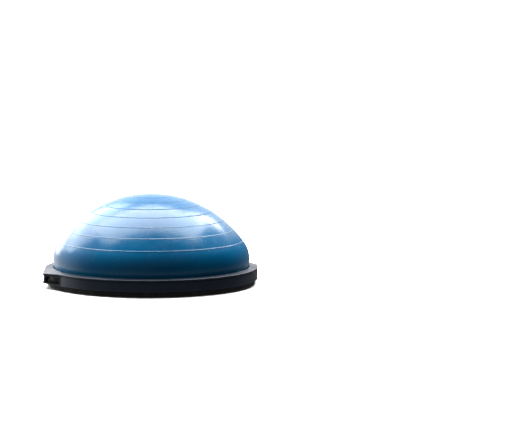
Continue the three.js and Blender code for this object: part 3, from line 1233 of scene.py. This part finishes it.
@dataclass
class Base:
    """The standing deck with its ribs and valve well, the rubber foot ring and the screws."""

    heights: Heights
    finishes: Finishes
    screw_circle: float
    deck_thick: float = 4.6 * MM
    wall: float = 4 * MM
    rib_thick: float = 3.2 * MM
    rib_count: int = 12
    hub: float = 46 * MM
    rib_rings: tuple[float, ...] = (118 * MM, 205 * MM)
    well_radius: float = 23 * MM
    well_wall: float = 2.8 * MM
    valve_flange: float = 3.2 * MM
    valve_place: Vector = field(default_factory=lambda: Vector((0, 150 * MM, 0)))
    foot_taper: float = 7.6 * MM
    screw_count: int = 16
    screw_shank: float = 2 * MM
    screw_head: float = 3.5 * MM
    screw_head_high: float = 2.6 * MM
    screw_length: float = 21 * MM
    screw_access: float = 0.5 * MM

    def base_section(self) -> list[Corner]:
        """Section of the base: deck, riser under the bead, and the flange under the rim."""
        riser = self.heights.bead_radius
        flange = self.heights.rim_low - FIT
        edge = self.heights.wall_radius - self.wall - FIT
        deck_top = self.heights.deck_low + self.deck_thick
        return [
            Corner(0, self.heights.deck_low),
            Corner(riser, self.heights.deck_low, 0.9 * MM),
            Corner(riser, flange, 0.3 * MM),
            Corner(edge, flange, 0.8 * MM),
            Corner(edge, self.heights.flange_top, 0.4 * MM),
            Corner(riser, self.heights.flange_top, 0.4 * MM),
            Corner(riser, self.heights.seat_top, 0.4 * MM),
            Corner(riser - self.wall, self.heights.seat_top, 0.4 * MM),
            Corner(riser - self.wall, deck_top, 1.2 * MM),
            Corner(0, deck_top),
        ]

    def ribs(self) -> list[bmesh.types.BMesh]:
        """The deck's stiffening ribs: rings, then radial webs."""
        low = self.heights.deck_low + self.deck_thick - 0.5 * MM
        high = self.heights.seat_top
        parts = []
        for radius in (self.hub, *self.rib_rings):
            section = [
                Corner(radius - self.rib_thick, low),
                Corner(radius, low),
                Corner(radius, high),
                Corner(radius - self.rib_thick, high),
            ]
            parts.append(Turning(section, 96).mesh())
        rib_end = self.heights.bead_radius - self.wall + 1 * MM
        web = Bench.web(self.hub - 1 * MM, rib_end, low, high, self.rib_thick)
        parts.append(Bench.ring_of(web, around(self.rib_count, math.pi / self.rib_count)))
        return parts

    def build_base(self) -> bpy.types.Object:
        """Makes the base, with its valve well and screw holes.

        Returns:
            The base.
        """
        base = Bench.piece("standing_base", Turning(self.base_section()).mesh(), self.finishes.deck)
        for part in self.ribs():
            Bench.cut(base, part, Cut.JOIN)
        low = self.heights.deck_low
        well_top = self.heights.floor_low - self.valve_flange - FIT
        outer = Bench.rod(self.well_radius + self.well_wall, low + 1 * MM, well_top, self.valve_place, 64)
        Bench.cut(base, outer, Cut.JOIN)
        bore = Turning(
            [
                Corner(0, low - 2 * MM),
                Corner(self.well_radius + 3.2 * MM, low - 2 * MM),
                Corner(self.well_radius + 1.2 * MM, low, 0.2 * MM),
                Corner(self.well_radius, low + 1.2 * MM, 0.6 * MM),
                Corner(self.well_radius, self.heights.seat_top + 1 * MM),
                Corner(0, self.heights.seat_top + 1 * MM),
            ],
            96,
        ).mesh()
        bmesh.ops.translate(bore, verts=list(bore.verts), vec=self.valve_place)
        Bench.cut(base, bore, Cut.REMOVE)
        angles = around(self.screw_count, math.pi / self.screw_count)
        flange = self.heights.rim_low - FIT
        place = Vector((self.screw_circle, 0, 0))
        hole_top = self.heights.flange_top + 1 * MM
        hole = Bench.rod(self.screw_shank + FIT, flange - 1 * MM, hole_top, place, 20)
        Bench.cut(base, Bench.ring_of(hole, angles), Cut.REMOVE)
        Bench.soften(base)
        return Bench.fit(base, Body.PLATFORM, Slot.BASE_PLASTIC, "base_pan")

    def build_foot(self) -> bpy.types.Object:
        """Makes the rubber ring that stands on the floor.

        Returns:
            The foot ring.
        """
        inner = self.heights.bead_radius + FIT
        outer = self.heights.foot_radius
        top = self.heights.foot_top
        section = [
            Corner(inner, 0, 1.0 * MM),
            Corner(inner + 4 * MM, 0, 0.4 * MM),
            Corner(outer - self.foot_taper, 0, 0.9 * MM),
            Corner(outer, top - 1.0 * MM, 0.7 * MM),
            Corner(outer - 0.8 * MM, top, 0.4 * MM),
            Corner(inner, top, 0.4 * MM),
        ]
        foot = Bench.piece("floor_ring", Turning(section).mesh(), self.finishes.rubber)
        place = Vector((self.screw_circle, 0, 0))
        hole = Bench.rod(self.screw_head + self.screw_access, -1 * MM, top + 1 * MM, place, 28)
        angles = around(self.screw_count, math.pi / self.screw_count)
        Bench.cut(foot, Bench.ring_of(hole, angles), Cut.REMOVE)
        Bench.soften(foot)
        return Bench.fit(foot, Body.PLATFORM, Slot.FOOT_RUBBER, "foot_ring")

    def screw_template(self) -> bpy.types.Object:
        """One pan-head screw with a cross recess, at angle zero.

        Returns:
            The screw, whose mesh the others copy.
        """
        seat = self.heights.rim_low - 2 * FIT
        low = seat - self.screw_head_high
        tip = seat + self.screw_length
        section = [
            Corner(0, low),
            Corner(self.screw_head, low, 1.3 * MM),
            Corner(self.screw_head, seat, 0.2 * MM),
            Corner(self.screw_shank, seat),
            Corner(self.screw_shank, tip - 2.5 * MM, 0.4 * MM),
            Corner(0, tip),
        ]
        screw = Bench.piece("screw", Turning(section, 28, 3).mesh(), self.finishes.zinc)
        slot_length, slot_width, slot_depth = 4.4 * MM, 1.0 * MM, 1.5 * MM
        for angle in (0.0, math.pi / 2):
            blade = Bench.web(-slot_length / 2, slot_length / 2, low - 1 * MM, low + slot_depth, slot_width)
            bmesh.ops.rotate(
                blade, cent=(0, 0, 0), matrix=Matrix.Rotation(angle, 3, "Z"), verts=list(blade.verts)
            )
            Bench.cut(screw, blade, Cut.REMOVE)
        return screw

    def build_screws(self) -> list[bpy.types.Object]:
        """Makes the sixteen screws, each turned a little differently, as screws stop.

        Returns:
            The screws.
        """
        template = self.screw_template()
        screws = []
        for i, angle in enumerate(around(self.screw_count, math.pi / self.screw_count)):
            mesh = template.data.copy()
            stop = 0.61 * i
            place = Matrix.Rotation(angle, 4, "Z") @ Matrix.Translation((self.screw_circle, 0, 0))
            mesh.transform(place @ Matrix.Rotation(stop, 4, "Z"))
            screw = bpy.data.objects.new(f"pan_screw_{i + 1:02d}", mesh)
            bpy.context.scene.collection.objects.link(screw)
            Bench.soften(screw)
            screws.append(Bench.fit(screw, Body.PLATFORM, Slot.STEEL, f"rim_screw_{i + 1:02d}"))
        bpy.data.objects.remove(template)
        return screws


# ------------------------------------------------------------------------------------------ valve


@dataclass
class Valve:
    """The rubber valve socket, its nut inside the dome, and the plug pulled from the deck side."""

    heights: Heights
    finishes: Finishes
    place: Vector
    bore: float = 4.6 * MM
    neck: float = 8 * MM
    flange: float = 15 * MM
    flange_high: float = 3.2 * MM
    nut_radius: float = 14 * MM
    nut_high: float = 4.5 * MM
    head: float = 11.5 * MM
    head_high: float = 2.8 * MM
    tab_high: float = 6 * MM
    tab_width: float = 13 * MM
    tab_thick: float = 3 * MM

    def placed(self, name: str, bm: bmesh.types.BMesh, finish: bpy.types.Material) -> bpy.types.Object:
        """A turned part moved to the valve's place."""
        bmesh.ops.translate(bm, verts=list(bm.verts), vec=self.place)
        obj = Bench.piece(name, bm, finish)
        Bench.soften(obj)
        return obj

    def build(self) -> list[bpy.types.Object]:
        """Makes the socket, the nut and the plug.

        Returns:
            The three pieces.
        """
        under = self.heights.floor_low - FIT
        low = under - self.flange_high
        above = self.heights.floor_top + FIT
        neck_top = above + self.nut_high + 1.5 * MM
        socket = Turning(
            [
                Corner(self.bore, low, 0.8 * MM),
                Corner(self.flange, low, 1.2 * MM),
                Corner(self.flange, under, 0.3 * MM),
                Corner(self.neck, under),
                Corner(self.neck, neck_top, 0.9 * MM),
                Corner(self.bore, neck_top, 0.3 * MM),
            ],
            72,
        ).mesh()
        nut = Turning(
            [
                Corner(self.neck + FIT, above),
                Corner(self.nut_radius, above, 0.3 * MM),
                Corner(self.nut_radius, above + self.nut_high, 1.2 * MM),
                Corner(self.neck + FIT, above + self.nut_high, 0.3 * MM),
            ],
            72,
        ).mesh()
        bush = self.placed("valve_bush", socket, self.finishes.rubber)
        ring_nut = self.placed("valve_ring_nut", nut, self.finishes.black)
        return [
            Bench.fit(bush, Body.PLATFORM, Slot.FOOT_RUBBER, "valve_socket"),
            Bench.fit(ring_nut, Body.PLATFORM, Slot.BASE_PLASTIC, "valve_nut"),
            self.plug(low, neck_top),
        ]

    def plug(self, seat: float, neck_top: float) -> bpy.types.Object:
        """The plug: stem in the bore, round head, and a tab for finger and thumb.

        Args:
            seat: Underside of the socket.
            neck_top: Top of the socket.

        Returns:
            The plug.
        """
        head_top = seat - FIT
        head_low = head_top - self.head_high
        tail = self.bore - FIT
        tail_top = neck_top - 1 * MM
        stem = Turning(
            [
                Corner(0, head_low),
                Corner(self.head - 2.4 * MM, head_low, 0.5 * MM),
                Corner(self.head, head_low + 0.9 * MM, 0.8 * MM),
                Corner(self.head, head_top, 0.4 * MM),
                Corner(tail, head_top, 0.4 * MM),
                Corner(tail, tail_top - 2 * MM, 0.5 * MM),
                Corner(tail - 1.2 * MM, tail_top, 0.4 * MM),
                Corner(0, tail_top),
            ],
            72,
        ).mesh()
        plug = Bench.piece("valve_stopper", stem, self.finishes.black)
        half = self.tab_width / 2
        tab = Bench.web(-half, half, head_low - self.tab_high, head_low + 1 * MM, self.tab_thick)
        lower = [e for e in tab.edges if min(v.co.z for v in e.verts) < head_low - self.tab_high / 2]
        Rim.bevel(tab, lower, 1.2 * MM, 4)
        Bench.cut(plug, tab, Cut.JOIN)
        plug.data.transform(Matrix.Translation(self.place))
        Bench.soften(plug)
        return Bench.fit(plug, Body.PLUG, Slot.BASE_PLASTIC, "valve_plug")


def dress_floor_membrane(finishes: Finishes) -> None:
    """Gives the membrane that closes the dome below its vinyl."""
    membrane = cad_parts["bladder_floor"]
    mesh = membrane.data
    mesh.materials.clear()
    mesh.materials.append(finishes.vinyl)
    LOG.info("bladder_floor: CAD node in vinyl")


# ------------------------------------------------------------------------------------------ studio


@dataclass(frozen=True)
class SoftBox:
    """One soft light, placed as seen by the camera: right, away and up from the object."""

    name: str
    right: float
    away: float
    up: float
    width: float
    height: float
    radiance: float
    aim_up: float = 0.12

    def power(self) -> float:
        """Power in watts that gives the box its radiance."""
        return self.radiance * math.pi * self.width * self.height


class Surround:
    """The world's brightness as a sum and product of ramps over the directions."""

    def __init__(self, world: bpy.types.World) -> None:
        """Starts from a white world."""
        self.tree = world.node_tree
        self.background = self.tree.nodes["Background"]
        self.background.inputs["Color"].default_value = (1.0, 1.0, 1.0, 1)
        self.facing = self.tree.nodes.new("ShaderNodeTexCoord").outputs["Generated"]

    def ramp(
        self, towards: Vector, low: float, high: float, start: float, end: float
    ) -> bpy.types.NodeSocket:
        """Value that changes from start to end as a direction turns towards a given one.

        Args:
            towards: The direction looked for.
            low: Cosine where the change starts.
            high: Cosine where it ends.
            start: Value before.
            end: Value after.

        Returns:
            The value.
        """
        dot = self.tree.nodes.new("ShaderNodeVectorMath")
        dot.operation = "DOT_PRODUCT"
        self.tree.links.new(self.facing, dot.inputs[0])
        dot.inputs[1].default_value = towards
        change = self.tree.nodes.new("ShaderNodeMapRange")
        change.interpolation_type = "SMOOTHSTEP"
        self.tree.links.new(dot.outputs["Value"], change.inputs["Value"])
        for name, number in (("From Min", low), ("From Max", high), ("To Min", start), ("To Max", end)):
            change.inputs[name].default_value = number
        return change.outputs["Result"]

    def join(
        self,
        how: str,
        first: bpy.types.NodeSocket,
        second: bpy.types.NodeSocket,
    ) -> bpy.types.NodeSocket:
        """Combines two values.

        Args:
            how: The operation.
            first: The first value.
            second: The second value.

        Returns:
            The result.
        """
        node = self.tree.nodes.new("ShaderNodeMath")
        node.operation = how
        self.tree.links.new(first, node.inputs[0])
        self.tree.links.new(second, node.inputs[1])
        return node.outputs[0]

    def strength(self, value: bpy.types.NodeSocket) -> None:
        """Gives the world its brightness."""
        self.tree.links.new(value, self.background.inputs["Strength"])


@dataclass
class Studio:
    """Pale floor, soft lights and the camera."""

    azimuth: float = math.radians(-19.0)
    pitch: float = math.radians(6.28)
    distance: float = 8.0
    aim_right: float = 0.3026
    aim_up: float = 0.1992
    lens: float = 191.455
    sensor: float = 36.0
    wash_strength: float = 1.8
    wash_angle: float = math.radians(80)
    boxes: tuple[SoftBox, ...] = (
        SoftBox("overhead", -0.05, 0.5, 2.0, 3.0, 1.5, 14.5),
        SoftBox("left_flank", -1.4, 1.5, 1.45, 1.9, 1.2, 6.5),
        SoftBox("left_low", -1.35, 2.2, 0.5, 1.2, 0.6, 6),
        SoftBox("right_window", 0.9, 1.25, 1.3, 0.42, 0.75, 13),
    )

    def place(self, right: float, away: float, up: float) -> Vector:
        """Turns a place seen from the camera into one in the object's frame."""
        x_axis = Vector((math.cos(self.azimuth), math.sin(self.azimuth), 0))
        y_axis = Vector((-math.sin(self.azimuth), math.cos(self.azimuth), 0))
        return x_axis * right + y_axis * away + Vector((0, 0, up))

    def floor(self) -> None:
        """Lays the pale floor under its own wide light; the surround stands for its bounce."""
        bm = bmesh.new()
        bmesh.ops.create_grid(bm, x_segments=1, y_segments=1, size=60)
        shader = Shader("studio_floor")
        shader.set(Base_Color=(0.92, 0.92, 0.925, 1), Roughness=0.9, Specular_IOR_Level=0.1)
        floor = Bench.piece("studio_floor", bm, shader.material)
        floor.visible_glossy = False
        floor.visible_diffuse = False
        wash = self.hang("floor_wash", "SUN", self.place(-0.8, 0.6, 3.6), Vector((0, 0, 0)))
        wash.data.energy = self.wash_strength
        wash.data.angle = self.wash_angle
        only_floor = bpy.data.collections.new("floor_only")
        only_floor.objects.link(floor)
        wash.light_linking.receiver_collection = only_floor

    def hang(self, name: str, kind: str, place: Vector, aim: Vector) -> bpy.types.Object:
        """Hangs one lamp.

        Args:
            name: The lamp's name.
            kind: AREA or SUN.
            place: Where it hangs.
            aim: What it points at.

        Returns:
            The lamp, to set its size and strength.
        """
        data = bpy.data.lights.new(name, kind)
        lamp = bpy.data.objects.new(name, data)
        bpy.context.scene.collection.objects.link(lamp)
        lamp.location = place
        lamp.rotation_euler = (aim - place).to_track_quat("-Z", "Y").to_euler()
        return lamp

    def lights(self) -> None:
        """Hangs the soft boxes."""
        for box in self.boxes:
            place = self.place(box.right, box.away, box.up)
            data = self.hang(box.name, "AREA", place, Vector((0, 0, box.aim_up))).data
            data.shape = "RECTANGLE"
            data.size, data.size_y = box.width, box.height
            data.energy = box.power()

    def world(self) -> None:
        """Sets the surround: white behind, dark on the camera's side, black low at right, pale below."""
        world = bpy.data.worlds.new("studio")
        world.use_nodes = True
        surround = Surround(world)
        behind = surround.ramp(self.place(-0.25, 1, 0).normalized(), -0.1, 0.65, 0.15, 1.7)
        right = surround.ramp(self.place(1, 0, -1.2), 0.05, 0.17, 1.0, 0.1)
        bounce = surround.ramp(Vector((0, 0, 1)), -0.5, -0.02, 0.5, 0.0)
        surround.strength(surround.join("ADD", surround.join("MULTIPLY", behind, right), bounce))
        bpy.context.scene.world = world
        bpy.context.scene.view_settings.view_transform = "Standard"

    def camera(self) -> None:
        """Sets the long-lens camera a little above the rim."""
        data = bpy.data.cameras.new("camera")
        data.sensor_width = self.sensor
        data.sensor_fit = "HORIZONTAL"
        data.lens = self.lens
        data.clip_end = 200
        camera = bpy.data.objects.new("camera", data)
        bpy.context.scene.collection.objects.link(camera)
        back = self.place(0, -math.cos(self.pitch), math.sin(self.pitch))
        up = self.place(0, math.sin(self.pitch), math.cos(self.pitch))
        aim = self.place(self.aim_right, 0, 0) + up * self.aim_up
        camera.location = aim + back * self.distance
        camera.rotation_euler = (-back).to_track_quat("-Z", "Y").to_euler()
        bpy.context.scene.camera = camera

    def build(self) -> None:
        """Sets up the whole studio."""
        self.floor()
        self.lights()
        self.world()
        self.camera()


def main() -> None:
    """Builds the object and its studio in order."""
    logging.basicConfig(level=logging.INFO, format="%(name)s %(message)s")
    Studio().build()
    heights = Heights.from_frame()
    finishes = Finishes()
    Dome(heights, finishes).build()
    rim = Rim(heights, finishes)
    rim.build()
    base = Base(heights, finishes, rim.screw_circle())
    base.build_base()
    base.build_foot()
    base.build_screws()
    Valve(heights, finishes, base.valve_place).build()
    dress_floor_membrane(finishes)


if __name__ == "__main__":
    main()
